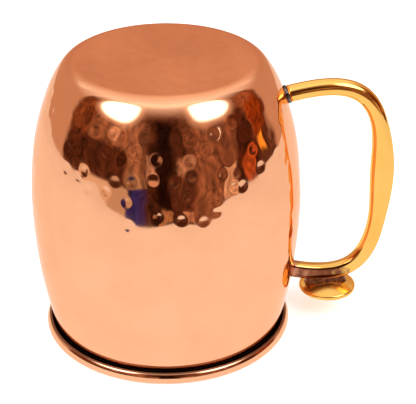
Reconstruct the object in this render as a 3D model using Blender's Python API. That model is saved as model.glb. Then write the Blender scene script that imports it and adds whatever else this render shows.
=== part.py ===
"""Barrel mug of spun copper with a cast brass handle, shown standing mouth down on its rolled rim.

Metres, +Z up. The origin is the centre of the base's flat outer face, so the mug hangs below z = 0 and
its rim stands at z = -HEIGHT. +X points from the mug's axis towards the handle.
"""

import math

import bmesh
import bpy
import numpy as np

# Overall sizes
HEIGHT = 0.100
BELLY_RADIUS = 0.04584
RIM_RADIUS = 0.0428

# Copper sheet: base, barrel and rolled rim are one spun sheet
SHEET = 0.0008
BASE_FLAT_RADIUS = 0.0292
SHOULDER_RADIUS = 0.0061
SHOULDER_LEAN = math.radians(46.75)
BELLY_DROP = 0.0501
BELLY_PULL = 0.0275
SHOULDER_PULL = 0.0054

# Rolled rim: the sheet turns outwards and up, and its lip bends back over a groove
GROOVE = 0.0024
CURL_HEIGHT = 0.0043
LIP_RADIUS = 0.00135
LIP_TURN = math.radians(105)

# Handle: a round rod at the base end, a swollen grip, and a squarer bar at the rim end
FINGER_GAP = 0.0252
GRIP_DROP = 0.0470
GRIP_THICKNESS = 0.0082
GRIP_WIDTH = 0.0061
GRIP_HALF_LENGTH = 0.0228
BASE_ROD = 0.0059
RIM_BAR_THICKNESS = 0.0056
RIM_BAR_WIDTH = 0.0048
BASE_JOINT_DROP = 0.0154
RIM_JOINT_RISE = 0.0170
BASE_LAUNCH = math.radians(12.9)
RIM_LAUNCH = math.radians(-15.5)
ROUND_SECTION = 2.0
GRIP_SECTION = 2.4
BAR_SECTION = 3.2
# How far each bend runs straight before it turns, as a share of the distance it covers
BASE_RUN_PULL = 0.72
BASE_GRIP_PULL = 1.015
RIM_GRIP_PULL = 0.966
RIM_RUN_PULL = 0.805

# Thumb rest: a round pad brazed under the bar, domed towards the bar and dished for the thumb. The dome
# stands on a rim of its own thickness, and the rim's edges are rounded by a share of that thickness.
THUMB_REST_DIAMETER = 0.0200
THUMB_REST_RIM = 0.0019
THUMB_REST_DOME = 0.0018
THUMB_REST_ROUNDING = 0.47
THUMB_REST_DISH = 0.0004
THUMB_REST_SHIFT = 0.0015

# Brazed joints
BASE_BRAZE = 0.0008
RIM_BRAZE = 0.0006
BRAZE_BULGE = 0.0003
THUMB_BRAZE_LENGTH = 0.0150
THUMB_BRAZE_HEIGHT = 0.0009
THUMB_BRAZE_MARGIN = 0.0009
GAP = 0.0003

# Before they are trimmed, the handle's ends reach this far into the barrel, and each slug of braze is
# as long as this many of the handle's rings
HANDLE_END_REACH = 0.0032
BRAZE_RINGS = 6

# Mesh fineness
BODY_STEPS = 56
BARREL_STEPS = 8
SHOULDER_STEPS = 4
TURN_STEPS = 8
LIP_STEPS = 5
PAD_STEPS = 32
PAD_EDGE_STEPS = 4
DOME_STEPS = 4
DISH_STEPS = 5
SECTION_POINTS = 20
RUN_STATIONS = 20
ENVELOPE_STEPS = 32
SAMPLES_PER_STEP = 25
MERGE_DISTANCE = 0.00001
SHARP_ANGLE = math.radians(40)


def clear_scene():
    for obj in list(bpy.data.objects):
        bpy.data.objects.remove(obj, do_unlink=True)


def metal(name, colour, roughness):
    material = bpy.data.materials.new(name)
    material.use_nodes = True
    shader = material.node_tree.nodes["Principled BSDF"]
    shader.inputs["Base Color"].default_value = (*colour, 1.0)
    shader.inputs["Metallic"].default_value = 1.0
    shader.inputs["Roughness"].default_value = roughness
    return material


def arc(centre, radius, start, end, steps):
    """Points (r, z) along an arc, from one angle to another."""
    angles = np.linspace(start, end, steps + 1)
    return [(centre[0] + radius * math.cos(a), centre[1] + radius * math.sin(a)) for a in angles]


def bezier(p0, p1, p2, p3, steps):
    t = np.linspace(0.0, 1.0, steps + 1)[:, None]
    p0, p1, p2, p3 = (np.array(p, float) for p in (p0, p1, p2, p3))
    points = (1 - t) ** 3 * p0 + 3 * t * (1 - t) ** 2 * p1 + 3 * t**2 * (1 - t) * p2 + t**3 * p3
    return [tuple(p) for p in points]


# The sheet's middle line, from which both of its faces are offset


def belly_point():
    return (BELLY_RADIUS - SHEET / 2, -BELLY_DROP)


def upper_barrel(steps):
    """From the shoulder's arc down to the belly, where the wall is vertical."""
    radius = SHOULDER_RADIUS - SHEET / 2
    lean = SHOULDER_LEAN
    start = (
        BASE_FLAT_RADIUS + radius * math.cos(lean),
        -SHOULDER_RADIUS + radius * math.sin(lean),
    )
    belly = belly_point()
    start_pull = (start[0] + SHOULDER_PULL * math.sin(lean), start[1] - SHOULDER_PULL * math.cos(lean))
    belly_pull = (belly[0], belly[1] + BELLY_PULL)
    return bezier(start, start_pull, belly_pull, belly, steps)


def rim_bend():
    """Centre (r, z) and radius of the turn at the mouth."""
    radius = (GROOVE + SHEET) / 2
    outer = radius + SHEET / 2
    return (RIM_RADIUS - outer, -HEIGHT + outer), radius


def lower_barrel(steps):
    """An arc from the belly, tangent to the turn at the mouth, and the angle at which they meet."""
    belly = belly_point()
    bend, radius = rim_bend()
    across, down = belly[0] - bend[0], belly[1] - bend[1]
    sweep = (across**2 + down**2 - radius**2) / (2 * (across + radius))
    centre = (belly[0] - sweep, belly[1])
    meet = math.atan2(bend[1] - centre[1], bend[0] - centre[0])
    return arc(centre, sweep, 0.0, meet, steps), meet


def curl(meet):
    """The turn at the mouth, the upstand and the lip that bends back towards the wall."""
    bend, radius = rim_bend()
    turn = arc(bend, radius, math.pi + meet, 2 * math.pi, TURN_STEPS)
    lip = LIP_RADIUS - SHEET / 2
    lip_centre = (RIM_RADIUS - LIP_RADIUS, -HEIGHT + CURL_HEIGHT - LIP_RADIUS)
    return turn[1:] + arc(lip_centre, lip, 0.0, LIP_TURN, LIP_STEPS)


def sheet_line():
    """The sheet's middle line, from the base's centre to the end of the lip."""
    lower, meet = lower_barrel(BARREL_STEPS)
    base = [(0.0, -SHEET / 2), (BASE_FLAT_RADIUS, -SHEET / 2)]
    centre = (BASE_FLAT_RADIUS, -SHOULDER_RADIUS)
    shoulder = arc(centre, SHOULDER_RADIUS - SHEET / 2, math.pi / 2, SHOULDER_LEAN, SHOULDER_STEPS)
    return base + shoulder[1:] + upper_barrel(BARREL_STEPS)[1:] + lower[1:] + curl(meet)


def offset(line, distance):
    """The line moved sideways, to the left of the way it runs when the distance is positive."""
    line = np.array(line)
    steps = np.gradient(line, axis=0)
    along = steps / np.linalg.norm(steps, axis=1)[:, None]
    moved = line + distance * np.stack([-along[:, 1], along[:, 0]], axis=1)
    moved[0, 0] = line[0, 0]
    return [tuple(p) for p in moved]


def outer_line():
    """The barrel's outer face between the shoulder and the mouth, finely sampled, from the base down."""
    samples = ENVELOPE_STEPS // 2 * SAMPLES_PER_STEP
    lower, _ = lower_barrel(samples)
    return offset(upper_barrel(samples)[:-1] + lower, SHEET / 2)


def outer_radius(z):
    line = np.array(outer_line())[::-1]
    return float(np.interp(z, line[:, 1], line[:, 0]))


# Solids


def new_object(name, mesh, material=None):
    obj = bpy.data.objects.new(name, mesh)
    bpy.context.scene.collection.objects.link(obj)
    if material:
        mesh.materials.append(material)
    return obj


def turned(name, profile, steps, material=None):
    """A solid of revolution, from a profile (r, z) that starts and ends on the axis."""
    mesh = bpy.data.meshes.new(name)
    count = len(profile)
    mesh.from_pydata([(r, 0.0, z) for r, z in profile], [(i, i + 1) for i in range(count - 1)], [])
    obj = new_object(name, mesh, material)
    screw = obj.modifiers.new("Turn", "SCREW")
    screw.steps = screw.render_steps = steps
    screw.use_merge_vertices = True
    screw.merge_threshold = MERGE_DISTANCE
    screw.use_smooth_shade = True
    return obj


def lofted(name, rings, material=None):
    """A solid skinned over rings of equally many points, with flat ends."""
    mesh = bpy.data.meshes.new(name)
    shape = bmesh.new()
    loops = [[shape.verts.new(point) for point in ring] for ring in rings]
    count = len(loops[0])
    for first, second in zip(loops, loops[1:]):
        for i in range(count):
            j = (i + 1) % count
            shape.faces.new((first[i], first[j], second[j], second[i]))
    shape.faces.new(loops[0])
    shape.faces.new(loops[-1])
    bmesh.ops.recalc_face_normals(shape, faces=shape.faces)
    shape.to_mesh(mesh)
    shape.free()
    mesh.shade_smooth()
    mesh.set_sharp_from_angle(angle=SHARP_ANGLE)
    return new_object(name, mesh, material)


def helper(obj):
    obj.hide_render = True
    obj.display_type = "WIRE"
    return obj


def boolean(obj, operation, other):
    modifier = obj.modifiers.new(f"{operation.title()} {other.name}", "BOOLEAN")
    modifier.operation = operation
    modifier.solver = "EXACT"
    modifier.object = other


def barrel_envelope(name, base_growth, rim_growth):
    """A solid barrel larger than the mug's outside: one growth above the belly and another below it."""
    line = outer_line()[::SAMPLES_PER_STEP]
    grown = [(r + (base_growth if z > -BELLY_DROP else rim_growth), z) for r, z in line]
    profile = [(0.0, grown[0][1])] + grown + [(0.0, grown[-1][1])]
    return helper(turned(name, profile, BODY_STEPS))


# Handle


def joint_point(z):
    return (outer_radius(z), z)


def centreline():
    """The handle's middle line (x, z), from the joint near the base, round the grip, to the rim's."""
    base = joint_point(-BASE_JOINT_DROP)
    rim = joint_point(-HEIGHT + RIM_JOINT_RISE)
    grip = (BELLY_RADIUS + FINGER_GAP + GRIP_THICKNESS / 2, -GRIP_DROP)
    base_pull = BASE_RUN_PULL * (grip[0] - base[0])
    rim_pull = RIM_RUN_PULL * (grip[0] - rim[0])
    first = bezier(
        base,
        (base[0] + base_pull * math.cos(BASE_LAUNCH), base[1] + base_pull * math.sin(BASE_LAUNCH)),
        (grip[0], grip[1] + BASE_GRIP_PULL * (base[1] - grip[1])),
        grip,
        RUN_STATIONS,
    )
    second = bezier(
        grip,
        (grip[0], grip[1] - RIM_GRIP_PULL * (grip[1] - rim[1])),
        (rim[0] + rim_pull * math.cos(RIM_LAUNCH), rim[1] + rim_pull * math.sin(RIM_LAUNCH)),
        rim,
        RUN_STATIONS,
    )
    return np.array(first + second[1:])


def ease(t):
    t = min(max(t, 0.0), 1.0)
    return t * t * (3 - 2 * t)


def sections():
    """For each station: its place, the direction across it, its thickness, its width and its squareness."""
    line = centreline()
    run = np.concatenate([[0.0], np.cumsum(np.linalg.norm(np.diff(line, axis=0), axis=1))])
    middle = run[RUN_STATIONS]
    steps = np.gradient(line, axis=0)
    along = steps / np.linalg.norm(steps, axis=1)[:, None]
    found = []
    for place, way, at in zip(line, along, run):
        share = ease(at / run[-1])
        swell = math.cos(min(abs(at - middle) / GRIP_HALF_LENGTH, 1.0) * math.pi / 2) ** 2
        rod = BASE_ROD + (RIM_BAR_THICKNESS - BASE_ROD) * share
        breadth = BASE_ROD + (RIM_BAR_WIDTH - BASE_ROD) * share
        square = ROUND_SECTION + (BAR_SECTION - ROUND_SECTION) * share
        found.append(
            {
                "place": place,
                "along": way,
                "across": np.array([-way[1], way[0]]),
                "thickness": rod + (GRIP_THICKNESS - rod) * swell,
                "width": breadth + (GRIP_WIDTH - breadth) * swell,
                "square": square + (GRIP_SECTION - square) * swell,
            }
        )
    return found


def section_ring(section, growth=0.0, shift=0.0):
    """A ring of points round a station, grown sideways and shifted along the line."""
    place = section["place"] + shift * section["along"]
    half_thick = section["thickness"] / 2 + growth
    half_wide = section["width"] / 2 + growth
    power = 2 / section["square"]
    ring = []
    for i in range(SECTION_POINTS):
        angle = 2 * math.pi * (i + 0.5) / SECTION_POINTS
        c, s = math.cos(angle), math.sin(angle)
        out = half_thick * math.copysign(abs(c) ** power, c)
        side = half_wide * math.copysign(abs(s) ** power, s)
        ring.append((place[0] + out * section["across"][0], side, place[1] + out * section["across"][1]))
    return ring


def handle_rings(growth=0.0):
    """The handle's rings, with one more at each end, well inside the barrel."""
    stations = sections()
    first = [section_ring(stations[0], growth, -HANDLE_END_REACH)]
    last = [section_ring(stations[-1], growth, HANDLE_END_REACH)]
    return first + [section_ring(s, growth) for s in stations[1:-1]] + last


def joint_braze(name, rings, material, outer, inner):
    """A slug of braze between the barrel and the end of the handle, a little wider than the handle there."""
    braze = lofted(name, rings, material)
    boolean(braze, "INTERSECT", outer)
    boolean(braze, "DIFFERENCE", inner)
    return braze


def lowest_of_bar():
    """Where the rim run hangs lowest: its middle (x, z) and the z of its underside."""
    stations = sections()[RUN_STATIONS:]
    low = min(stations, key=lambda s: s["place"][1] - s["thickness"] / 2)
    return low["place"], low["place"][1] - low["thickness"] / 2


def pad_lean():
    """How steeply the dome falls where it meets the pad's rounded edge."""
    return math.atan(2 * THUMB_REST_DOME / (THUMB_REST_DIAMETER / 2))


def pad_profile():
    """The thumb rest's profile: its dome's top at z = 0, a rounded edge and a dished underside."""
    edge, lean = THUMB_REST_ROUNDING * THUMB_REST_RIM, pad_lean()
    land = THUMB_REST_DIAMETER / 2 - edge * (1 - math.sin(lean))
    dome = [(land * i / DOME_STEPS, -THUMB_REST_DOME * (i / DOME_STEPS) ** 2) for i in range(DOME_STEPS)]
    upper_centre = (land - edge * math.sin(lean), -THUMB_REST_DOME - edge * math.cos(lean))
    upper = arc(upper_centre, edge, math.pi / 2 - lean, 0.0, PAD_EDGE_STEPS)
    bottom = -THUMB_REST_DOME - THUMB_REST_RIM
    lower = arc((upper_centre[0], bottom + edge), edge, 0.0, -math.pi / 2, PAD_EDGE_STEPS)
    foot = upper_centre[0]
    shares = [i / DISH_STEPS for i in range(DISH_STEPS - 1, -1, -1)]
    dish = [(foot * t, bottom + THUMB_REST_DISH * (1 - t**2) ** 2) for t in shares]
    return dome + upper + lower + dish


def thumb_rest_braze(low, pad_top, material, bar, pad):
    """The bead left round the bar's foot on the thumb rest, cut to the bar above it and the dome below it."""
    half_long = THUMB_BRAZE_LENGTH / 2
    half_wide = RIM_BAR_WIDTH / 2 + THUMB_BRAZE_MARGIN
    rings = []
    for rise, inset in ((-THUMB_REST_DOME, 0.0), (THUMB_BRAZE_HEIGHT, THUMB_BRAZE_MARGIN / 2)):
        ring = []
        for i in range(PAD_STEPS):
            angle = 2 * math.pi * i / PAD_STEPS
            x = low[0] + (half_long - inset) * math.cos(angle)
            ring.append((x, (half_wide - inset) * math.sin(angle), pad_top + rise))
        rings.append(ring)
    braze = lofted("thumb_rest_braze", rings, material)
    boolean(braze, "DIFFERENCE", bar)
    boolean(braze, "DIFFERENCE", pad)
    return braze


def build():
    clear_scene()
    copper = metal("copper", (0.93, 0.50, 0.34), 0.10)
    brass = metal("brass", (0.85, 0.58, 0.22), 0.14)
    rest_brass = metal("thumb_rest_brass", (0.83, 0.57, 0.21), 0.16)
    dark_braze = metal("dark_braze", (0.10, 0.07, 0.06), 0.45)
    brown_braze = metal("brown_braze", (0.32, 0.15, 0.09), 0.35)
    gold_braze = metal("gold_braze", (0.45, 0.26, 0.10), 0.35)

    line = sheet_line()
    profile = offset(line, SHEET / 2) + offset(line, -SHEET / 2)[::-1]
    turned("mug_body", profile, BODY_STEPS, copper)

    wall = barrel_envelope("wall_clearance", GAP, GAP)
    braze_face = barrel_envelope("braze_face", GAP + BASE_BRAZE, GAP + RIM_BRAZE)
    handle_end = barrel_envelope("handle_end", 2 * GAP + BASE_BRAZE, 2 * GAP + RIM_BRAZE)

    handle = lofted("handle", handle_rings(), brass)
    boolean(handle, "DIFFERENCE", handle_end)
    bulged = handle_rings(BRAZE_BULGE)
    joint_braze("base_joint_braze", bulged[:BRAZE_RINGS], dark_braze, braze_face, wall)
    joint_braze("rim_joint_braze", bulged[-BRAZE_RINGS:], brown_braze, braze_face, wall)

    low, underside = lowest_of_bar()
    pad_top = underside - GAP
    rest = turned("thumb_rest", pad_profile(), PAD_STEPS, rest_brass)
    rest.location = (low[0] + THUMB_REST_SHIFT, 0.0, pad_top)
    bar_clearance = helper(lofted("bar_clearance", handle_rings(GAP)))
    pad_clearance = helper(turned("pad_clearance", pad_profile(), PAD_STEPS))
    pad_clearance.location = (*rest.location[:2], pad_top + GAP / math.cos(pad_lean()))
    thumb_rest_braze(low, pad_top, gold_braze, bar_clearance, pad_clearance)


build()
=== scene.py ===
"""Looks of a hammered copper barrel mug with a cast brass handle, standing mouth down on its rolled rim.

Metres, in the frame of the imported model: +Z up, the base's flat outer face at z = 0, +X towards the handle.
"""

import math
import random

import bpy
import numpy as np
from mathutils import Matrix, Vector

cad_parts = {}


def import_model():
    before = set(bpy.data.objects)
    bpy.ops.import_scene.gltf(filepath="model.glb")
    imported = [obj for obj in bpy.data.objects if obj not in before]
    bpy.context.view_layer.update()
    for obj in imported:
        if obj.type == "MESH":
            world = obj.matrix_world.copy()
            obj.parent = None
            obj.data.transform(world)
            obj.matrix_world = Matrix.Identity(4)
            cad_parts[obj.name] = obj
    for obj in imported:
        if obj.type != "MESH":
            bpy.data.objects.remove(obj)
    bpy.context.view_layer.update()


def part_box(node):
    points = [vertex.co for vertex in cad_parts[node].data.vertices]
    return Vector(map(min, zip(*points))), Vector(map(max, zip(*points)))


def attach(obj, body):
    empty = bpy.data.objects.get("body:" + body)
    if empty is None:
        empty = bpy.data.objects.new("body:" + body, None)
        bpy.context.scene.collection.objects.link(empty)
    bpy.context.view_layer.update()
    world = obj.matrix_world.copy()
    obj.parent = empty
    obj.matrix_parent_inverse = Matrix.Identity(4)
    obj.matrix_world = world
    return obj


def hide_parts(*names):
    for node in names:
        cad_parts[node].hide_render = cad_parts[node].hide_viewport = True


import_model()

# Sizes read from the frame
body_low, body_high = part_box("mug_body")
handle_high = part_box("handle")[1]
rest_low, rest_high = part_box("thumb_rest")
HEIGHT = -body_low.z
BELLY_RADIUS = body_high.x

# The sheet's shape, as in the solid model
RIM_RADIUS = 0.0428
SHEET = 0.0008
BASE_FLAT_RADIUS = 0.0292
SHOULDER_RADIUS = 0.0061
SHOULDER_LEAN = math.radians(46.75)
BELLY_DROP = 0.0501
BELLY_PULL = 0.0275
SHOULDER_PULL = 0.0054
GROOVE = 0.0024
CURL_HEIGHT = 0.0043
LIP_RADIUS = 0.00135
LIP_TURN = math.radians(105)
LIP_SQUARENESS = 1.5
GROOVE_TOP = -0.0958

# The handle's shape
GRIP_DROP = 0.0470
GRIP_THICKNESS = 0.0082
GRIP_WIDTH = 0.0061
GRIP_HALF_LENGTH = 0.0228
BASE_ROD = 0.0059
RIM_BAR_THICKNESS = 0.0056
RIM_BAR_WIDTH = 0.0048
BASE_JOINT_DROP = 0.0154
RIM_JOINT_RISE = 0.0170
BASE_LAUNCH = math.radians(12.9)
RIM_LAUNCH = math.radians(-15.5)
ROUND_SECTION = 2.0
GRIP_SECTION = 2.8
BAR_SECTION = 3.4
BASE_RUN_PULL = 0.72
BASE_GRIP_PULL = 1.015
RIM_GRIP_PULL = 0.966
RIM_RUN_PULL = 0.805

# The brazed joints: how thick the beads are between handle and barrel, and how far and unevenly they bulge
BASE_BRAZE = 0.0009
RIM_BRAZE = 0.0007
BRAZE_BULGE = 0.0003
BRAZE_UNEVENNESS = 0.35
LUMPS_AROUND = (2, 3, 5, 8, 11)
LUMP_SIZES = (0.4, 1.0)
# A bead's profile is part of a half wave: the share of it left out at the barrel, and how full it is
BEAD_START = 0.06
BEAD_FULLNESS = 0.6
BEAD_STANDS_OFF = 0.00002
# Shares of a bead's thickness, off the barrel: where the handle's end stops, hidden in the bead, where the
# bead stops, over the handle, and how far off the handle's other rings have to be
HANDLE_STANDS_OFF = 0.7
BEAD_REACH = 1.15
RINGS_CLEAR = 1.2
THUMB_BRAZE_LENGTH = 0.0150
THUMB_BRAZE_HEIGHT = 0.0007
THUMB_BRAZE_MARGIN = 0.0002
THUMB_BRAZE_PINCH = 0.10
THUMB_BRAZE_SINK = 0.05
THUMB_BRAZE_SQUARENESS = 0.5

# The thumb rest: domed towards the bar, with a rounded edge and a dished thumb side
REST_DOME = 0.0018
REST_DOME_POWER = 1.4
REST_EDGE = 0.0008
REST_DISH = 0.0004

# Finishes, by place: the base's satin flat, the painted shade in the rim's groove, and the heat stain on the
# bar with painted shade on the bar's sides
SATIN_ENDS = (0.0300, 0.0335)
SATIN_DEPTH = (-0.0018, -0.0003)
GROOVE_WIDTH = 0.0048
LIP_WIDTH = 0.0010
LIP_FADE = 0.0003
WALL_FADE = 0.0006
GROOVE_TOP_FADE = (0.0006, -0.0002)
GROOVE_FOOT_FADE = (0.0004, 0.0008)
STAIN_AND_SHADE_HEIGHT = (-0.0740, -0.0800)
STAIN_AND_SHADE_WANDER = 0.003
STAIN_AND_SHADE_PAST_PAD = (0.002, 0.007)
STAIN_ON_TOP = (0.0445, 0.0500)
STAIN_PALE_END = (0.0455, 0.0490)
HAZY = (0.20, 0.28)
BRIGHT = (0.045, 0.11)

# Hammer marks: round dents in rough rows all over the barrel
DENT_RADIUS = 0.0024
DENT_DEPTH = 0.000098
DENT_SPACING = 0.0066
DENT_ROW_SPACING = 0.0066
DENT_JITTER = 0.0013
DENT_STRENGTHS = (0.5, 1.05)
DENT_SEED = 7
DENTS_FROM = 0.0100
DENTS_TO = 0.0880
# The barrel's slow unevenness
WAVE_SEED = 19
WAVE_COUNT = 18
WAVE_LENGTHS = (0.009, 0.024)
WAVE_SLOPE = 0.0052
# Hammering starts and ends this far from the base and the rim, over a fade of the second length
HAMMERED_FROM = (0.006, 0.004)
HAMMERED_TO = (0.005, 0.006)
JOINT_CLEARANCE = 0.0085
HANDLE_SIDE = math.radians(20)
HANDLE_SIDE_STRENGTH = 0.15

# Mesh fineness
TURN_STEPS = 640
BARREL_STEPS = 112
INNER_STEPS = 24
SHOULDER_STEPS = 14
MOUTH_STEPS = 18
LIP_STEPS = 24
BASE_RINGS = (0.0, 0.002, 0.010, 0.018, 0.024, 0.027, 0.0285)
SECTION_POINTS = 64
RUN_STATIONS = 70
SEAT_STEPS = 12
BEAD_RINGS = 9
REST_STEPS = 128
REST_DOME_STEPS = 32
REST_EDGE_STEPS = 10
REST_DISH_STEPS = 12
PAD_BRAZE_POINTS = 128
DENSE_SAMPLES = 400


# Lines of the sheet, as (r, z)


def arc(centre, radius, start, end, steps):
    angles = np.linspace(start, end, steps + 1)
    return np.stack([centre[0] + radius * np.cos(angles), centre[1] + radius * np.sin(angles)], axis=1)


def bezier(p0, p1, p2, p3, steps):
    t = np.linspace(0.0, 1.0, steps + 1)[:, None]
    p0, p1, p2, p3 = (np.array(p, float) for p in (p0, p1, p2, p3))
    return (1 - t) ** 3 * p0 + 3 * t * (1 - t) ** 2 * p1 + 3 * t**2 * (1 - t) * p2 + t**3 * p3


def belly_point():
    return (BELLY_RADIUS - SHEET / 2, -BELLY_DROP)


def shoulder(steps):
    centre = (BASE_FLAT_RADIUS, -SHOULDER_RADIUS)
    return arc(centre, SHOULDER_RADIUS - SHEET / 2, math.pi / 2, SHOULDER_LEAN, steps)


def upper_barrel(steps):
    start = shoulder(1)[-1]
    lean = SHOULDER_LEAN
    belly = belly_point()
    start_pull = (start[0] + SHOULDER_PULL * math.sin(lean), start[1] - SHOULDER_PULL * math.cos(lean))
    return bezier(start, start_pull, (belly[0], belly[1] + BELLY_PULL), belly, steps)


def rim_bend():
    radius = (GROOVE + SHEET) / 2
    outer = radius + SHEET / 2
    return (RIM_RADIUS - outer, -HEIGHT + outer), radius


def lower_barrel(steps):
    """An arc from the belly, tangent to the turn at the mouth, and the angle at which they meet."""
    belly = belly_point()
    bend, radius = rim_bend()
    across, down = belly[0] - bend[0], belly[1] - bend[1]
    sweep = (across**2 + down**2 - radius**2) / (2 * (across + radius))
    centre = (belly[0] - sweep, belly[1])
    meet = math.atan2(bend[1] - centre[1], bend[0] - centre[0])
    return arc(centre, sweep, 0.0, meet, steps), meet


def curled_lip(foot):
    """The lip above the mouth's turn: its flank leans in as it rises, and its top is rounded over."""
    angles = np.linspace(0.0, LIP_TURN, LIP_STEPS + 1)
    across = LIP_RADIUS - SHEET / 2
    rise = -HEIGHT + CURL_HEIGHT - SHEET / 2 - foot
    c, s = (np.sign(v) * np.abs(v) ** (2 / LIP_SQUARENESS) for v in (np.cos(angles), np.sin(angles)))
    return np.stack([RIM_RADIUS - LIP_RADIUS + across * c, foot + rise * s], axis=1)


def sheet_line(barrel_steps):
    """The sheet's middle line, from the base's centre to the lip."""
    lower, meet = lower_barrel(barrel_steps)
    bend, radius = rim_bend()
    turn = arc(bend, radius, math.pi + meet, 2 * math.pi, MOUTH_STEPS)
    lip = curled_lip(bend[1])
    flat = np.array([(r, -SHEET / 2) for r in BASE_RINGS])
    upper = upper_barrel(barrel_steps)[1:]
    return np.concatenate([flat, shoulder(SHOULDER_STEPS), upper, lower[1:], turn[1:], lip])


def offset(line, distance):
    steps = np.gradient(line, axis=0)
    along = steps / np.linalg.norm(steps, axis=1)[:, None]
    moved = line + distance * np.stack([-along[:, 1], along[:, 0]], axis=1)
    moved[0, 0] = line[0, 0]
    return moved


MIDDLE_LINE = np.concatenate([upper_barrel(DENSE_SAMPLES)[:-1], lower_barrel(DENSE_SAMPLES)[0]])
OUTER_LINE = offset(MIDDLE_LINE, SHEET / 2)


def outer_radius(z):
    return np.interp(z, OUTER_LINE[::-1, 1], OUTER_LINE[::-1, 0])


# Hammering


def by_a_joint(angle, drop):
    """Whether a place on the barrel is too near one of the handle's ends to have been hammered."""
    joints = (BASE_JOINT_DROP, HEIGHT - RIM_JOINT_RISE)
    away = min(math.hypot(angle * BELLY_RADIUS, drop - joint) for joint in joints)
    return away < JOINT_CLEARANCE


def dents():
    """The hammer marks, in rough rows: angle, drop below the base and strength of each."""
    chance = random.Random(DENT_SEED)
    found = []
    rows = int((DENTS_TO - DENTS_FROM) / DENT_ROW_SPACING)
    for row in range(rows + 1):
        row_drop = DENTS_FROM + row * DENT_ROW_SPACING
        radius = float(outer_radius(-row_drop))
        around = round(2 * math.pi * radius / DENT_SPACING)
        start = chance.random()
        for i in range(around):
            angle = 2 * math.pi * (i + start) / around + chance.gauss(0, DENT_JITTER) / radius
            drop = row_drop + chance.gauss(0, DENT_JITTER)
            strength = chance.uniform(*DENT_STRENGTHS)
            angle = (angle + math.pi) % (2 * math.pi) - math.pi
            if by_a_joint(angle, drop):
                continue
            if abs(angle) < HANDLE_SIDE:
                strength *= HANDLE_SIDE_STRENGTH
            found.append((angle, drop, strength))
    return found


def waviness(angles, depth_at):
    """The barrel's slow unevenness: waves of many directions that all slope about equally."""
    chance = random.Random(WAVE_SEED)
    total = np.zeros((len(depth_at), len(angles)))
    for _ in range(WAVE_COUNT):
        wavenumber = 2 * math.pi / chance.uniform(*WAVE_LENGTHS)
        heading = chance.uniform(0, math.pi)
        around = round(wavenumber * math.cos(heading) * BELLY_RADIUS)
        down = wavenumber * math.sin(heading)
        phase = chance.uniform(0, 2 * math.pi)
        wave = np.cos(around * angles[None, :] + down * depth_at[:, None] + phase)
        total += WAVE_SLOPE / wavenumber * wave
    return total


def hammering(angles, line):
    """How far each point of the grid (line point, angle) is pushed in, in metres."""
    push = np.zeros((len(line), len(angles)))
    depth_at = -line[:, 1]
    for angle, drop, strength in dents():
        radius = float(outer_radius(-drop))
        near = np.where(np.abs(depth_at - drop) < DENT_RADIUS)[0]
        if not len(near):
            continue
        across = (angles - angle + math.pi) % (2 * math.pi) - math.pi
        close = np.where(np.abs(across) * radius < DENT_RADIUS)[0]
        run = np.hypot(across[close][None, :] * radius, (depth_at[near] - drop)[:, None]) / DENT_RADIUS
        push[np.ix_(near, close)] += DENT_DEPTH * strength * np.clip(1 - run**2, 0, None) ** 2
    fade = np.clip((depth_at - HAMMERED_FROM[0]) / HAMMERED_FROM[1], 0, 1)
    fade = fade * np.clip((HEIGHT - HAMMERED_TO[0] - depth_at) / HAMMERED_TO[1], 0, 1)
    return (push + waviness(angles, depth_at)) * fade[:, None]


# Objects


def make(name, vertices, faces, material, node):
    mesh = bpy.data.meshes.new(name)
    mesh.from_pydata([tuple(v) for v in vertices], [], faces)
    mesh.update()
    mesh.shade_smooth()
    mesh.materials.append(material)
    piece = bpy.data.objects.new(name, mesh)
    bpy.context.scene.collection.objects.link(piece)
    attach(piece, "root")
    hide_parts(node)
    return piece


def ring_faces(rings, count, closed_ends=True):
    faces = []
    for a in range(rings - 1):
        for i in range(count):
            j = (i + 1) % count
            faces.append((a * count + i, (a + 1) * count + i, (a + 1) * count + j, a * count + j))
    if closed_ends:
        faces.append(tuple(range(count)))
        faces.append(tuple(range((rings - 1) * count, rings * count))[::-1])
    return faces


def mug_body(material):
    angles = np.linspace(0, 2 * math.pi, TURN_STEPS, endpoint=False)
    fine = sheet_line(BARREL_STEPS)
    coarse = sheet_line(INNER_STEPS)
    outside = offset(fine, SHEET / 2)
    inside = offset(coarse, -SHEET / 2)
    grids = []
    for line, face in ((fine, outside), (coarse[::-1], inside[::-1])):
        push = hammering(angles, line)
        normal = np.gradient(line, axis=0)
        normal /= np.linalg.norm(normal, axis=1)[:, None]
        outward = np.stack([-normal[:, 1], normal[:, 0]], axis=1)
        if face is not outside:
            outward = -outward
        radius = face[:, 0][:, None] - push * outward[:, 0][:, None]
        height = face[:, 1][:, None] - push * outward[:, 1][:, None]
        grid = np.stack([radius * np.cos(angles), radius * np.sin(angles), height], axis=2)
        grids.append(grid)
    top, bottom = grids[0][0, 0].copy(), grids[1][-1, 0].copy()
    rings = np.concatenate([grids[0][1:], grids[1][:-1]])
    vertices = [(0.0, 0.0, top[2])] + list(rings.reshape(-1, 3)) + [(0.0, 0.0, bottom[2])]
    count, last = TURN_STEPS, len(vertices) - 1
    faces = [tuple(i + 1 for i in f) for f in ring_faces(len(rings), count, closed_ends=False)]
    for i in range(count):
        j = (i + 1) % count
        faces.append((0, 1 + i, 1 + j))
        faces.append((last, last - count + j, last - count + i))
    return make("hammered_body", vertices, faces, material, "mug_body")


# Handle


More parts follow.
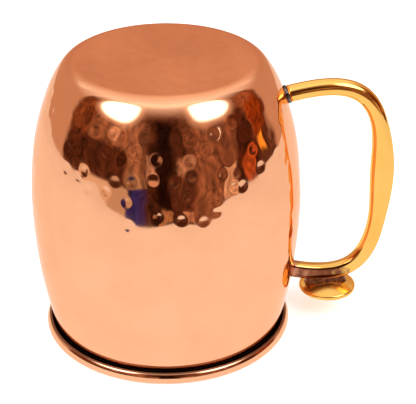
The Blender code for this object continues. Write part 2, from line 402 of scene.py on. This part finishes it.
def centreline():
    base = (float(outer_radius(-BASE_JOINT_DROP)), -BASE_JOINT_DROP)
    rim = (float(outer_radius(-HEIGHT + RIM_JOINT_RISE)), -HEIGHT + RIM_JOINT_RISE)
    grip = (handle_high.x - GRIP_THICKNESS / 2, -GRIP_DROP)
    base_pull = BASE_RUN_PULL * (grip[0] - base[0])
    rim_pull = RIM_RUN_PULL * (grip[0] - rim[0])
    first = bezier(
        base,
        (base[0] + base_pull * math.cos(BASE_LAUNCH), base[1] + base_pull * math.sin(BASE_LAUNCH)),
        (grip[0], grip[1] + BASE_GRIP_PULL * (base[1] - grip[1])),
        grip,
        RUN_STATIONS,
    )
    second = bezier(
        grip,
        (grip[0], grip[1] - RIM_GRIP_PULL * (grip[1] - rim[1])),
        (rim[0] + rim_pull * math.cos(RIM_LAUNCH), rim[1] + rim_pull * math.sin(RIM_LAUNCH)),
        rim,
        RUN_STATIONS,
    )
    return np.concatenate([first, second[1:]])


def ease(t):
    t = min(max(t, 0.0), 1.0)
    return t * t * (3 - 2 * t)


def sections():
    line = centreline()
    run = np.concatenate([[0.0], np.cumsum(np.linalg.norm(np.diff(line, axis=0), axis=1))])
    middle = run[RUN_STATIONS]
    steps = np.gradient(line, axis=0)
    along = steps / np.linalg.norm(steps, axis=1)[:, None]
    found = []
    for place, way, at in zip(line, along, run):
        share = ease(at / run[-1])
        swell = math.cos(min(abs(at - middle) / GRIP_HALF_LENGTH, 1.0) * math.pi / 2) ** 2
        rod = BASE_ROD + (RIM_BAR_THICKNESS - BASE_ROD) * share
        breadth = BASE_ROD + (RIM_BAR_WIDTH - BASE_ROD) * share
        square = ROUND_SECTION + (BAR_SECTION - ROUND_SECTION) * share
        found.append(
            {
                "place": place,
                "along": way,
                "across": np.array([-way[1], way[0]]),
                "thickness": rod + (GRIP_THICKNESS - rod) * swell,
                "width": breadth + (GRIP_WIDTH - breadth) * swell,
                "square": square + (GRIP_SECTION - square) * swell,
            }
        )
    return found


def section_ring(section, growth=0.0):
    power = 2 / section["square"]
    angles = 2 * math.pi * (np.arange(SECTION_POINTS) + 0.5) / SECTION_POINTS
    c, s = np.cos(angles), np.sin(angles)
    out = (section["thickness"] / 2 + growth) * np.sign(c) * np.abs(c) ** power
    side = (section["width"] / 2 + growth) * np.sign(s) * np.abs(s) ** power
    x = section["place"][0] + out * section["across"][0]
    z = section["place"][1] + out * section["across"][1]
    return np.stack([x, side, z], axis=1)


def seat(ring, way, clearance):
    """The ring's points slid along the handle's end direction until they lie that far off the barrel."""
    ring = ring.copy()
    step = np.array([way[0], 0.0, way[1]])
    if step[0] < 0:
        step = -step
    for _ in range(SEAT_STEPS):
        short = outer_radius(ring[:, 2]) + clearance - np.hypot(ring[:, 0], ring[:, 1])
        ring += short[:, None] * step
    return ring


def handle(stations, material):
    """The cast handle, with its ends hidden in the beads."""
    first, last = stations[0], stations[-1]
    rings = [seat(section_ring(first), first["along"], BASE_BRAZE * HANDLE_STANDS_OFF)]
    rings += [section_ring(s) for s in stations if clear_of_barrel(s)]
    rings += [seat(section_ring(last), last["along"], RIM_BRAZE * HANDLE_STANDS_OFF)]
    faces = ring_faces(len(rings), SECTION_POINTS)
    return make("cast_handle", np.concatenate(rings), faces, material, "handle")


def clear_of_barrel(section):
    """Whether a whole section stands clear of the barrel and the bead on it."""
    ring = section_ring(section)
    least = outer_radius(ring[:, 2]) + RINGS_CLEAR * BASE_BRAZE
    return bool((np.hypot(ring[:, 0], ring[:, 1]) > least).all())


def joint_braze(name, node, section, thickness, material):
    """A bead of braze round the end of the handle, with a lumpy edge."""
    chance = random.Random(len(name))
    lumps = [(k, chance.uniform(*LUMP_SIZES), chance.uniform(0, 2 * math.pi)) for k in LUMPS_AROUND]
    angles = 2 * math.pi * (np.arange(SECTION_POINTS) + 0.5) / SECTION_POINTS
    uneven = sum(a * np.cos(k * angles + p) for k, a, p in lumps) / 3
    rings = []
    for share in np.linspace(0, 1, BEAD_RINGS):
        wave = math.pi * min(share * (1 - BEAD_START) + BEAD_START, 1.0)
        bulge = BRAZE_BULGE * math.sin(wave) ** BEAD_FULLNESS
        ring = seat(section_ring(section, 0.0), section["along"], thickness * share * BEAD_REACH)
        centre = ring.mean(axis=0)
        outward = ring - centre
        outward /= np.linalg.norm(outward, axis=1)[:, None]
        ring += outward * (bulge * (1 + BRAZE_UNEVENNESS * uneven))[:, None]
        rings.append(seat(ring, section["along"], BEAD_STANDS_OFF) if share == 0 else ring)
    return make(name, np.concatenate(rings), ring_faces(len(rings), SECTION_POINTS), material, node)


# Thumb rest


def turned(name, profile, steps, centre, material, node):
    """A solid of revolution about an upright axis, from a profile (r, z) that starts and ends on it."""
    angles = np.linspace(0, 2 * math.pi, steps, endpoint=False)
    profile = np.array(profile)
    rings = [
        np.stack([centre[0] + r * np.cos(angles), centre[1] + r * np.sin(angles), np.full(steps, z)], axis=1)
        for r, z in profile[1:-1]
    ]
    vertices = [(centre[0], centre[1], profile[0, 1])] + list(np.concatenate(rings))
    vertices.append((centre[0], centre[1], profile[-1, 1]))
    last = len(vertices) - 1
    faces = [tuple(i + 1 for i in f) for f in ring_faces(len(rings), steps, closed_ends=False)]
    for i in range(steps):
        j = (i + 1) % steps
        faces.append((0, 1 + i, 1 + j))
        faces.append((last, last - steps + j, last - steps + i))
    return make(name, vertices, faces, material, node)


def rest_centre():
    return ((rest_high.x + rest_low.x) / 2, 0.0)


def rest_shape():
    """The dome's lean at the pad's edge, and the radius out to which it is domed."""
    radius = (rest_high.x - rest_low.x) / 2
    lean = math.atan(REST_DOME_POWER * REST_DOME / radius)
    return lean, radius - REST_EDGE * (1 - math.sin(lean))


def thumb_rest(material):
    top, bottom = rest_high.z, rest_low.z
    lean, land = rest_shape()
    outwards = np.linspace(0, 1, REST_DOME_STEPS + 1)[:-1]
    dome = [(land * t, top - REST_DOME * t**REST_DOME_POWER) for t in outwards]
    foot = land - REST_EDGE * math.sin(lean)
    edge_height = top - REST_DOME - REST_EDGE * math.cos(lean)
    upper = arc((foot, edge_height), REST_EDGE, math.pi / 2 - lean, 0.0, REST_EDGE_STEPS)
    lower = arc((foot, bottom + REST_EDGE), REST_EDGE, 0.0, -math.pi / 2, REST_EDGE_STEPS)
    inwards = np.linspace(0, 1, REST_DISH_STEPS + 1)[1:]
    dish = [(foot * (1 - t), bottom + REST_DISH * (1 - (1 - t) ** 2) ** 2) for t in inwards]
    profile = [*dome, *map(tuple, upper), *map(tuple, lower), *dish]
    return turned("thumb_pad", profile, REST_STEPS, rest_centre(), material, "thumb_rest")


def dome_height(x, y):
    """How high the thumb rest's face is at a place."""
    _, land = rest_shape()
    centre = rest_centre()
    away = np.hypot(x - centre[0], y - centre[1]) / land
    return rest_high.z - REST_DOME * away**REST_DOME_POWER


def bar_underside(bar, x):
    """How high the bar's underside is over the thumb rest, from the bar's stations."""
    places = np.array([s["place"] - s["across"] * s["thickness"] / 2 * np.sign(s["across"][1]) for s in bar])
    order = np.argsort(places[:, 0])
    return np.interp(x, places[order, 0], places[order, 1])


def thumb_rest_braze(bar, material):
    """Braze that fills the wedge between the bar and the dome, flush with the bar's sides."""
    low = min(bar, key=lambda s: s["place"][1] - s["thickness"] / 2)["place"][0]
    half_long, half_wide = THUMB_BRAZE_LENGTH / 2, RIM_BAR_WIDTH / 2 + THUMB_BRAZE_MARGIN
    angles = np.linspace(0, 2 * math.pi, PAD_BRAZE_POINTS, endpoint=False)
    c, s = np.cos(angles), np.sin(angles)
    uneven = 1 + 0.010 * np.cos(5 * angles + 1) + 0.008 * np.cos(9 * angles)
    length = half_long * uneven * np.sign(c) * np.abs(c) ** THUMB_BRAZE_SQUARENESS
    width = half_wide * uneven * np.sign(s) * np.abs(s) ** THUMB_BRAZE_SQUARENESS
    sink = THUMB_BRAZE_SINK * THUMB_BRAZE_HEIGHT
    rings = []
    for share in np.linspace(0, 1, BEAD_RINGS):
        pinch = 1 - THUMB_BRAZE_PINCH * math.sin(share * math.pi / 2)
        x, y = low + length * pinch, width * pinch
        dome = dome_height(x, y)
        height = np.maximum(THUMB_BRAZE_HEIGHT, bar_underside(bar, x) - dome + THUMB_BRAZE_HEIGHT)
        rings.append(np.stack([x, y, dome + height * share - sink], axis=1))
    faces = ring_faces(len(rings), len(angles))
    return make("pad_braze", np.concatenate(rings), faces, material, "thumb_rest_braze")


# Materials


def metal(name, colour, roughness):
    material = bpy.data.materials.new(name)
    material.use_nodes = True
    shader = material.node_tree.nodes["Principled BSDF"]
    shader.inputs["Base Color"].default_value = (*colour, 1.0)
    shader.inputs["Metallic"].default_value = 1.0
    shader.inputs["Roughness"].default_value = roughness
    return material, material.node_tree, shader


def noise(tree, scale, detail=3.0, stretch=None):
    """Noise over the object, as a value from 0 to 1, stretched along an axis when asked."""
    where = tree.nodes.new("ShaderNodeTexCoord").outputs["Object"]
    if stretch:
        mapping = tree.nodes.new("ShaderNodeMapping")
        mapping.inputs["Scale"].default_value = stretch
        tree.links.new(where, mapping.inputs["Vector"])
        where = mapping.outputs["Vector"]
    made = tree.nodes.new("ShaderNodeTexNoise")
    made.inputs["Scale"].default_value = scale
    made.inputs["Detail"].default_value = detail
    tree.links.new(where, made.inputs["Vector"])
    return made.outputs["Fac"]


def span(tree, value, low, high, to_low, to_high, smooth=False):
    made = tree.nodes.new("ShaderNodeMapRange")
    if smooth:
        made.interpolation_type = "SMOOTHSTEP"
    for socket, number in zip(("From Min", "From Max", "To Min", "To Max"), (low, high, to_low, to_high)):
        made.inputs[socket].default_value = number
    tree.links.new(value, made.inputs["Value"])
    return made.outputs["Result"]


def blend(tree, share, first, second):
    made = tree.nodes.new("ShaderNodeMix")
    made.data_type = "RGBA"
    tree.links.new(share, made.inputs["Factor"])
    for socket, colour in ((made.inputs[6], first), (made.inputs[7], second)):
        if isinstance(colour, tuple):
            socket.default_value = (*colour, 1.0)
        else:
            tree.links.new(colour, socket)
    return made.outputs[2]


def mix(tree, share, first, second):
    made = tree.nodes.new("ShaderNodeMix")
    tree.links.new(share, made.inputs["Factor"])
    for socket, number in ((made.inputs[2], first), (made.inputs[3], second)):
        if isinstance(number, float):
            socket.default_value = number
        else:
            tree.links.new(number, socket)
    return made.outputs[0]


def tint(tree, colour, by):
    """One colour multiplied by another."""
    made = tree.nodes.new("ShaderNodeMix")
    made.data_type = "RGBA"
    made.blend_type = "MULTIPLY"
    made.inputs["Factor"].default_value = 1.0
    tree.links.new(colour, made.inputs[6])
    tree.links.new(by, made.inputs[7])
    return made.outputs[2]


def math_node(tree, operation, first, second=None):
    made = tree.nodes.new("ShaderNodeMath")
    made.operation = operation
    for socket, value in zip(made.inputs, (first, second)):
        if isinstance(value, float):
            socket.default_value = value
        elif value is not None:
            tree.links.new(value, socket)
    return made.outputs[0]


def place(tree):
    """The object's own x, y, z."""
    split = tree.nodes.new("ShaderNodeSeparateXYZ")
    tree.links.new(tree.nodes.new("ShaderNodeTexCoord").outputs["Object"], split.inputs[0])
    return split.outputs


def bump(tree, shader, height, distance, strength=1.0):
    made = tree.nodes.new("ShaderNodeBump")
    made.inputs["Distance"].default_value = distance
    made.inputs["Strength"].default_value = strength
    tree.links.new(height, made.inputs["Height"])
    tree.links.new(made.outputs["Normal"], shader.inputs["Normal"])


def copper():
    """Polished on the barrel, satin on the base's flat, and painted near black down in the rim's groove as
    the groove's shade.
    """
    material, tree, shader = metal("polished_copper", (0.93, 0.46, 0.26), 0.05)
    shader.inputs["Specular Tint"].default_value = (1.0, 0.82, 0.70, 1.0)
    x, y, z = place(tree)
    squares = [math_node(tree, "MULTIPLY", v, v) for v in (x, y)]
    radius = math_node(tree, "SQRT", math_node(tree, "ADD", *squares))
    near_axis = span(tree, radius, *SATIN_ENDS, 1.0, 0.0, smooth=True)
    on_top = span(tree, z, *SATIN_DEPTH, 0.0, 1.0, smooth=True)
    satin = math_node(tree, "MULTIPLY", near_axis, on_top)
    mottle = noise(tree, 70.0, 4.0)
    polish = blend(tree, span(tree, mottle, 0.3, 0.7, 0.0, 1.0), (0.90, 0.435, 0.240), (0.95, 0.475, 0.268))
    streak = noise(tree, 60.0, 5.0, (1.0, 0.25, 1.0))
    cloud = noise(tree, 34.0, 3.0)
    brushed = blend(tree, span(tree, streak, 0.3, 0.7, 0.0, 1.0), (0.79, 0.305, 0.145), (0.90, 0.37, 0.182))
    worn = blend(tree, span(tree, cloud, 0.35, 0.65, 0.0, 1.0), (0.93, 0.93, 0.93), (1.0, 1.0, 1.0))
    brushed = tint(tree, brushed, worn)
    clean = blend(tree, satin, polish, brushed)
    # painted shade: the groove and the barrel's foot just above it are coloured near black
    groove_shade = groove_shade_mask(tree, radius, z)
    tree.links.new(blend(tree, groove_shade, clean, (0.012, 0.005, 0.004)), shader.inputs["Base Color"])
    gloss = span(tree, noise(tree, 160.0, 4.0), 0.3, 0.75, 0.045, 0.080)
    matt = span(tree, noise(tree, 220.0, 5.0), 0.3, 0.75, 0.30, 0.38)
    rough = mix(tree, satin, gloss, matt)
    tree.links.new(mix(tree, groove_shade, rough, 0.6), shader.inputs["Roughness"])
    bump(tree, shader, noise(tree, 900.0, 2.0), 0.000004, 0.5)
    return material


def groove_shade_mask(tree, radius, z):
    """Where the groove's shade is painted: 1 inside the groove between the barrel's foot and the rolled rim's
    upstand, fading up the barrel.
    """
    lip, wall = RIM_RADIUS - LIP_WIDTH, RIM_RADIUS - GROOVE_WIDTH
    inside = span(tree, radius, lip + LIP_FADE, lip, 0.0, 1.0, smooth=True)
    within = span(tree, radius, wall, wall + WALL_FADE, 0.0, 1.0, smooth=True)
    low = span(tree, z, *(GROOVE_TOP + past for past in GROOVE_TOP_FADE), 0.0, 1.0, smooth=True)
    above = span(tree, z, *(-HEIGHT + past for past in GROOVE_FOOT_FADE), 0.0, 1.0, smooth=True)
    across = math_node(tree, "MULTIPLY", inside, within)
    return math_node(tree, "MULTIPLY", across, math_node(tree, "MULTIPLY", low, above))


def brass(name, stain_and_shade_rim_end, gloss):
    """Polished brass between two roughnesses; where asked, stained by heat at the rim end, with painted shade
    darkening the stain on the bar's side and under faces.
    """
    material, tree, shader = metal(name, (0.95, 0.54, 0.13), 0.06)
    shader.inputs["Specular Tint"].default_value = (1.0, 0.86, 0.62, 1.0)
    x, _, z = place(tree)
    mottle = span(tree, noise(tree, 90.0, 4.0), 0.3, 0.7, 0.0, 1.0)
    colour = blend(tree, mottle, (0.92, 0.50, 0.115), (0.96, 0.55, 0.145))
    if stain_and_shade_rim_end:
        low = span(tree, z, *STAIN_AND_SHADE_HEIGHT, 0.0, 1.0, smooth=True)
        wobble = span(tree, noise(tree, 260.0, 3.0), 0.3, 0.7, -STAIN_AND_SHADE_WANDER, STAIN_AND_SHADE_WANDER)
        along = math_node(tree, "ADD", x, wobble)
        reach = [rest_centre()[0] + past for past in STAIN_AND_SHADE_PAST_PAD]
        near = span(tree, along, *reach, 1.0, 0.0, smooth=True)
        stain_and_shade = math_node(tree, "MULTIPLY", low, near)
        facing = tree.nodes.new("ShaderNodeSeparateXYZ")
        tree.links.new(tree.nodes.new("ShaderNodeNewGeometry").outputs["Normal"], facing.inputs[0])
        # painted shade: the dark stain is kept to faces turned sideways or down, and left off the tops except
        # near the joint
        side = span(tree, facing.outputs["Z"], 0.35, 0.75, 1.0, 0.15, smooth=True)
        by_joint = span(tree, along, *STAIN_ON_TOP, 1.0, 0.0, smooth=True)
        stain_and_shade = math_node(tree, "MULTIPLY", stain_and_shade, math_node(tree, "MAXIMUM", side, by_joint))
        dark_patches = span(tree, noise(tree, 180.0, 4.0), 0.35, 0.65, 0.0, 1.0)
        soot_and_shade = blend(tree, dark_patches, (0.27, 0.088, 0.040), (0.11, 0.030, 0.014))
        end = span(tree, along, *STAIN_PALE_END, 1.0, 0.0, smooth=True)
        stain_and_shade_colour = blend(tree, end, soot_and_shade, (0.50, 0.20, 0.11))
        colour = blend(tree, stain_and_shade, colour, stain_and_shade_colour)
    tree.links.new(colour, shader.inputs["Base Color"])
    tree.links.new(span(tree, noise(tree, 150.0, 4.0), 0.3, 0.75, *gloss), shader.inputs["Roughness"])
    bump(tree, shader, noise(tree, 700.0, 3.0), 0.00001, 0.4)
    return material


def braze(name, dark, light, roughness):
    """Rough braze, patched with a dark and a light colour."""
    material, tree, shader = metal(name, dark, roughness)
    patch = span(tree, noise(tree, 650.0, 3.0), 0.4, 0.72, 0.0, 1.0)
    tree.links.new(blend(tree, patch, dark, light), shader.inputs["Base Color"])
    rough = span(tree, noise(tree, 900.0, 2.0), 0.3, 0.7, roughness, roughness + 0.2)
    tree.links.new(rough, shader.inputs["Roughness"])
    bump(tree, shader, noise(tree, 1500.0, 3.0), 0.00005, 0.6)
    return material


# Studio

FLOOR_HALF = 6.0
FLOOR_GLOW = 0.35
SHEET_X = (-0.52, 0.46)
SHEET_Y = (-0.232, 0.7)
SHEET_RISE = 0.0001
LAMP_SIZE = 0.8
LAMP_POWER = 7
LAMP_DISTANCE = 1.2
CAMERA_PLACE = (-0.0433, -0.4501, 0.1925)
CAMERA_AIM = (0.0139, -0.0033, -0.0527)
LENS = 129.8
SENSOR = 36.0


def glow_tree(material):
    """Empties a material or world and gives it one emission; returns the tree and the emission."""
    material.use_nodes = True
    tree = material.node_tree
    tree.nodes.clear()
    kinds = ("ShaderNodeBackground", "ShaderNodeOutputWorld")
    if isinstance(material, bpy.types.Material):
        kinds = ("ShaderNodeEmission", "ShaderNodeOutputMaterial")
    light, out = (tree.nodes.new(kind) for kind in kinds)
    tree.links.new(light.outputs[0], out.inputs["Surface"])
    return tree, light


def stage_mesh(name, corners, faces, material):
    mesh = bpy.data.meshes.new(name)
    mesh.from_pydata(corners, [], faces)
    mesh.materials.append(material)
    made = bpy.data.objects.new(name, mesh)
    bpy.context.scene.collection.objects.link(made)
    return made


def flat(name, xs, ys, z, material):
    corners = [(xs[0], ys[0], z), (xs[1], ys[0], z), (xs[1], ys[1], z), (xs[0], ys[1], z)]
    return stage_mesh(name, corners, [(0, 1, 2, 3)], material)


def paper():
    """A matt white floor, lit mostly by the studio and a little by itself, so that its shadows stay light."""
    material = bpy.data.materials.new("paper")
    material.use_nodes = True
    shader = material.node_tree.nodes["Principled BSDF"]
    shader.inputs["Base Color"].default_value = (0.86, 0.86, 0.86, 1.0)
    shader.inputs["Roughness"].default_value = 1.0
    shader.inputs["Specular IOR Level"].default_value = 0.0
    shader.inputs["Emission Color"].default_value = (1.0, 1.0, 1.0, 1.0)
    shader.inputs["Emission Strength"].default_value = FLOOR_GLOW
    return material


def sheet_glow():
    """The lit sheet under the mug as polished metal sees it: white, and dimmer and warmer further out."""
    material = bpy.data.materials.new("white_sheet")
    tree, light = glow_tree(material)
    x, y, _ = place(tree)
    squares = [math_node(tree, "MULTIPLY", v, v) for v in (x, y)]
    radius = math_node(tree, "SQRT", math_node(tree, "ADD", *squares))
    far = span(tree, radius, 0.06, 0.50, 0.0, 1.0)
    patchy = span(tree, noise(tree, 9.0, 3.0), 0.3, 0.7, -0.12, 0.12)
    colour = blend(tree, math_node(tree, "ADD", far, patchy), (1.10, 1.09, 1.07), (0.96, 0.90, 0.86))
    tree.links.new(colour, light.inputs["Color"])
    return material


def studio():
    ground = -HEIGHT
    across = (-FLOOR_HALF, FLOOR_HALF)
    floor = flat("floor", across, across, ground, paper())
    floor.visible_glossy = False
    sheet = flat("white_sheet", SHEET_X, SHEET_Y, ground + SHEET_RISE, sheet_glow())
    sheet.visible_camera = sheet.visible_diffuse = sheet.visible_shadow = False
    sheet.visible_transmission = sheet.visible_volume_scatter = False
    for side, (azimuth, elevation, _, _) in zip(("left", "right"), SOFTBOXES):
        lamp = bpy.data.lights.new(side + "_softbox", "AREA")
        lamp.size = LAMP_SIZE
        lamp.energy = LAMP_POWER
        rig = bpy.data.objects.new(side + "_softbox", lamp)
        rig.location = towards(azimuth, elevation, LAMP_DISTANCE)
        inwards = Vector((0, 0, -HEIGHT / 2)) - rig.location
        rig.rotation_euler = inwards.to_track_quat("-Z", "Y").to_euler()
        rig.visible_glossy = False
        bpy.context.scene.collection.objects.link(rig)


def towards(azimuth, elevation, distance):
    """A place seen from the mug's middle: azimuth 0 is in front (-Y), and 90 is on the handle's side."""
    a, e = math.radians(azimuth), math.radians(elevation)
    away = Vector((math.sin(a) * math.cos(e), -math.cos(a) * math.cos(e), math.sin(e)))
    return away * distance + Vector((0, 0, -HEIGHT / 2))


# The room, as polished metal sees it. Each patch of it: azimuths, elevations, softness of its edges
# in degrees, and colour.
ROOM_PATCHES = {
    "left_wall": ((-104, -80), (2, 40), 6, (0.20, 0.065, 0.022)),
    "left_shelf": ((-78, -40), (10, 27), 5, (0.30, 0.14, 0.075)),
    "left_pale": ((-60, -50), (14, 21), 5, (0.60, 0.36, 0.24)),
    "left_dark": ((-100, -40), (-8, 9), 6, (0.085, 0.028, 0.013)),
    "left_column": ((-40, -18), (-2, 30), 4, (0.34, 0.17, 0.10)),
    "blue_cloth": ((-37, -22), (-24, -4), 1.2, (0.035, 0.030, 0.21)),
    "board_top": ((-37, -22), (-4, 0), 1.2, (0.42, 0.28, 0.17)),
        "middle_shade": ((-25, 10), (-24, 38), 14, (0.075, 0.026, 0.013)),
    "middle": ((-16, 0), (-24, 34), 9, (0.016, 0.005, 0.003)),
    "pale_left_of_middle": ((-22, -14), (1, 11), 3, (0.45, 0.27, 0.19)),
    "middle_foot": ((-13, -1), (-18, -13), 1.5, (0.45, 0.24, 0.12)),
    "pale_right_of_middle": ((4, 17), (0, 9), 4, (0.48, 0.28, 0.18)),
    "right_foot": ((8, 17), (-17, -12), 1.5, (0.55, 0.30, 0.18)),
    "right_column": ((19, 40), (-18, 26), 5, (0.27, 0.12, 0.065)),
    "right_shelf": ((42, 58), (-14, 0), 2, (0.66, 0.43, 0.29)),
    "right_wall": ((42, 62), (2, 24), 5, (0.24, 0.10, 0.055)),
    "spot": ((44, 47), (16, 18), 1, (2.0, 1.9, 1.8)),
    "right_dark": ((60, 78), (-8, 24), 4, (0.080, 0.022, 0.010)),
    "right_orange": ((65, 75), (-9, -1), 3, (0.40, 0.09, 0.022)),
    "orange_wall": ((80, 101), (0, 24), 6, (0.27, 0.052, 0.008)),
    "gold_lamp": ((82, 91), (-5, 0), 2, (1.10, 0.50, 0.06)),
    "brown_wall": ((76, 104), (22, 38), 8, (0.34, 0.12, 0.055)),
}
# Smooth parts of the room, without clutter
PLAIN_PATCHES = {
    "board": ((-80, -37.5), (-30, -5), 2, (0.86, 0.68, 0.54)),
    "board_shade": ((-54, -37.5), (-30, -5), 3, (0.64, 0.48, 0.35)),
    "ceiling_glow": ((-78, 78), (60, 76), 10, (1.45, 1.42, 1.36)),
    "behind_left": ((-200, -130), (36, 100), 8, (1.16, 1.12, 1.08)),
    "behind_right": ((130, 200), (36, 100), 8, (1.16, 1.12, 1.08)),
}
# Soft boxes: azimuth, elevation, half width and half height
SOFTBOXES = ((-60, 43, 24, 16), (47, 43, 24, 17))
BOX_BLUNTNESS = 2.6
BOX_HALO = (1.5, 1.15, 0.9)
BOX_CORE = (3.8, 4.4, 5.0)
WARM_WALLS = (0.66, 0.43, 0.32)
CEILING = (1.22, 1.18, 1.12)
CLUTTER_LOW = (0.12, 0.045, 0.024)
CLUTTER_HIGH = (0.20, 0.085, 0.045)
WHITE = (1.0, 1.0, 1.0)


def window(tree, value, edges, soft):
    """1 between two values and 0 beyond them, with soft edges."""
    rising = span(tree, value, edges[0] - soft / 2, edges[0] + soft / 2, 0.0, 1.0, smooth=True)
    falling = span(tree, value, edges[1] - soft / 2, edges[1] + soft / 2, 1.0, 0.0, smooth=True)
    return math_node(tree, "MULTIPLY", rising, falling)


def room_noise(tree, azimuth, elevation, across, up, detail):
    """Noise over the room whose marks are about so many degrees wide and high."""
    where = tree.nodes.new("ShaderNodeCombineXYZ")
    tree.links.new(math_node(tree, "DIVIDE", azimuth, across), where.inputs["X"])
    tree.links.new(math_node(tree, "DIVIDE", elevation, up), where.inputs["Y"])
    made = tree.nodes.new("ShaderNodeTexNoise")
    made.inputs["Scale"].default_value = 1.0
    made.inputs["Detail"].default_value = detail
    tree.links.new(where.outputs[0], made.inputs["Vector"])
    return made.outputs["Fac"]


def grey(tree, value):
    made = tree.nodes.new("ShaderNodeCombineXYZ")
    for socket in made.inputs:
        tree.links.new(value, socket)
    return made.outputs[0]


def area(tree, azimuth, elevation, azimuths, elevations, soft):
    """1 inside a rectangle of the room and 0 outside it, with soft edges."""
    across = window(tree, azimuth, azimuths, soft)
    return math_node(tree, "MULTIPLY", across, window(tree, elevation, elevations, soft))


def patched(tree, colour, patches, azimuth, elevation):
    """The room's colour with patches laid over it."""
    for azimuths, elevations, soft, patch in patches.values():
        share = area(tree, azimuth, elevation, azimuths, elevations, soft)
        colour = blend(tree, share, colour, patch)
    return colour


def share_of(tree, value, centre, half):
    """How far a value is from a centre, in half widths, raised so that the box gets blunt corners."""
    away = math_node(tree, "ABSOLUTE", math_node(tree, "SUBTRACT", value, float(centre)))
    return math_node(tree, "POWER", math_node(tree, "DIVIDE", away, float(half)), BOX_BLUNTNESS)


def room(tree, azimuth, elevation):
    """The room's colour: brown and cluttered in front, warm at the sides and behind, bright overhead."""
    sway = span(tree, room_noise(tree, azimuth, elevation, 9.0, 9.0, 2.0), 0.0, 1.0, -4.0, 4.0)
    across = math_node(tree, "ADD", azimuth, sway)
    up = math_node(tree, "ADD", elevation, math_node(tree, "MULTIPLY", sway, 0.4))
    overhead = span(tree, elevation, 27.0, 60.0, 0.0, 1.0)
    colour = blend(tree, overhead, WARM_WALLS, CEILING)
    below_ceiling = span(tree, up, 34.0, 60.0, 1.0, 0.0)
    front = math_node(tree, "MULTIPLY", window(tree, across, (-104, 104), 7), below_ceiling)
    clutter = blend(tree, span(tree, up, 0.0, 40.0, 0.0, 1.0), CLUTTER_LOW, CLUTTER_HIGH)
    colour = blend(tree, front, colour, clutter)
    colour = patched(tree, colour, ROOM_PATCHES, across, up)
    streaks = span(tree, room_noise(tree, across, up, 6.5, 13.0, 3.0), 0.30, 0.70, 0.50, 1.60)
    specks = span(tree, room_noise(tree, across, up, 3.4, 3.4, 4.0), 0.32, 0.68, 0.50, 1.55)
    clutter = tint(tree, grey(tree, streaks), grey(tree, specks))
    cluttered = area(tree, across, up, (-102, 102), (-40, 36), 10)
    colour = tint(tree, colour, blend(tree, cluttered, WHITE, clutter))
    colour = patched(tree, colour, PLAIN_PATCHES, azimuth, elevation)
    for box_azimuth, box_elevation, half_width, half_height in SOFTBOXES:
        run = share_of(tree, azimuth, box_azimuth, half_width)
        rise = share_of(tree, elevation, box_elevation, half_height)
        away = math_node(tree, "ADD", run, rise)
        halo = span(tree, away, 0.5, 2.4, 0.60, 0.0, smooth=True)
        colour = blend(tree, halo, colour, BOX_HALO)
        core = span(tree, away, 0.50, 1.25, 1.0, 0.0, smooth=True)
        colour = blend(tree, core, colour, BOX_CORE)
    return colour


def world():
    """Plain white to the camera and the floor; a room, for polished metal to reflect."""
    sky = bpy.data.worlds.new("studio")
    bpy.context.scene.world = sky
    tree, shine = glow_tree(sky)
    split = tree.nodes.new("ShaderNodeSeparateXYZ")
    tree.links.new(tree.nodes.new("ShaderNodeTexCoord").outputs["Generated"], split.inputs[0])
    x, y, z = split.outputs
    turn = math_node(tree, "ARCTAN2", x, math_node(tree, "MULTIPLY", y, -1.0))
    azimuth = math_node(tree, "DEGREES", turn)
    elevation = math_node(tree, "DEGREES", math_node(tree, "ARCSINE", z))
    rays = tree.nodes.new("ShaderNodeLightPath")
    colour = blend(tree, rays.outputs["Is Glossy Ray"], WHITE, room(tree, azimuth, elevation))
    tree.links.new(colour, shine.inputs["Color"])


def camera():
    data = bpy.data.cameras.new("camera")
    data.lens = LENS
    data.sensor_width = SENSOR
    rig = bpy.data.objects.new("camera", data)
    rig.location = CAMERA_PLACE
    aim = Vector(CAMERA_AIM)
    rig.rotation_euler = (aim - rig.location).to_track_quat("-Z", "Y").to_euler()
    bpy.context.scene.collection.objects.link(rig)
    bpy.context.scene.camera = rig
    bpy.context.scene.view_settings.view_transform = "Standard"


stations = sections()
mug_body(copper())
handle(stations, brass("polished_brass", stain_and_shade_rim_end=True, gloss=BRIGHT))
dark = braze("dark_braze", (0.020, 0.012, 0.010), (0.34, 0.33, 0.33), 0.30)
joint_braze("base_bead", "base_joint_braze", stations[0], BASE_BRAZE, dark)
brown = braze("brown_braze", (0.30, 0.12, 0.06), (0.55, 0.28, 0.13), 0.28)
joint_braze("rim_bead", "rim_joint_braze", stations[-1], RIM_BRAZE, brown)
thumb_rest(brass("thumb_rest_brass", stain_and_shade_rim_end=False, gloss=HAZY))
# painted shade: the braze under the bar is coloured dark brown for the bar's shade on the thumb rest
pad_braze_shade = braze("gold_braze", (0.11, 0.032, 0.015), (0.28, 0.095, 0.042), 0.22)
thumb_rest_braze(stations[RUN_STATIONS:], pad_braze_shade)
studio()
world()
camera()
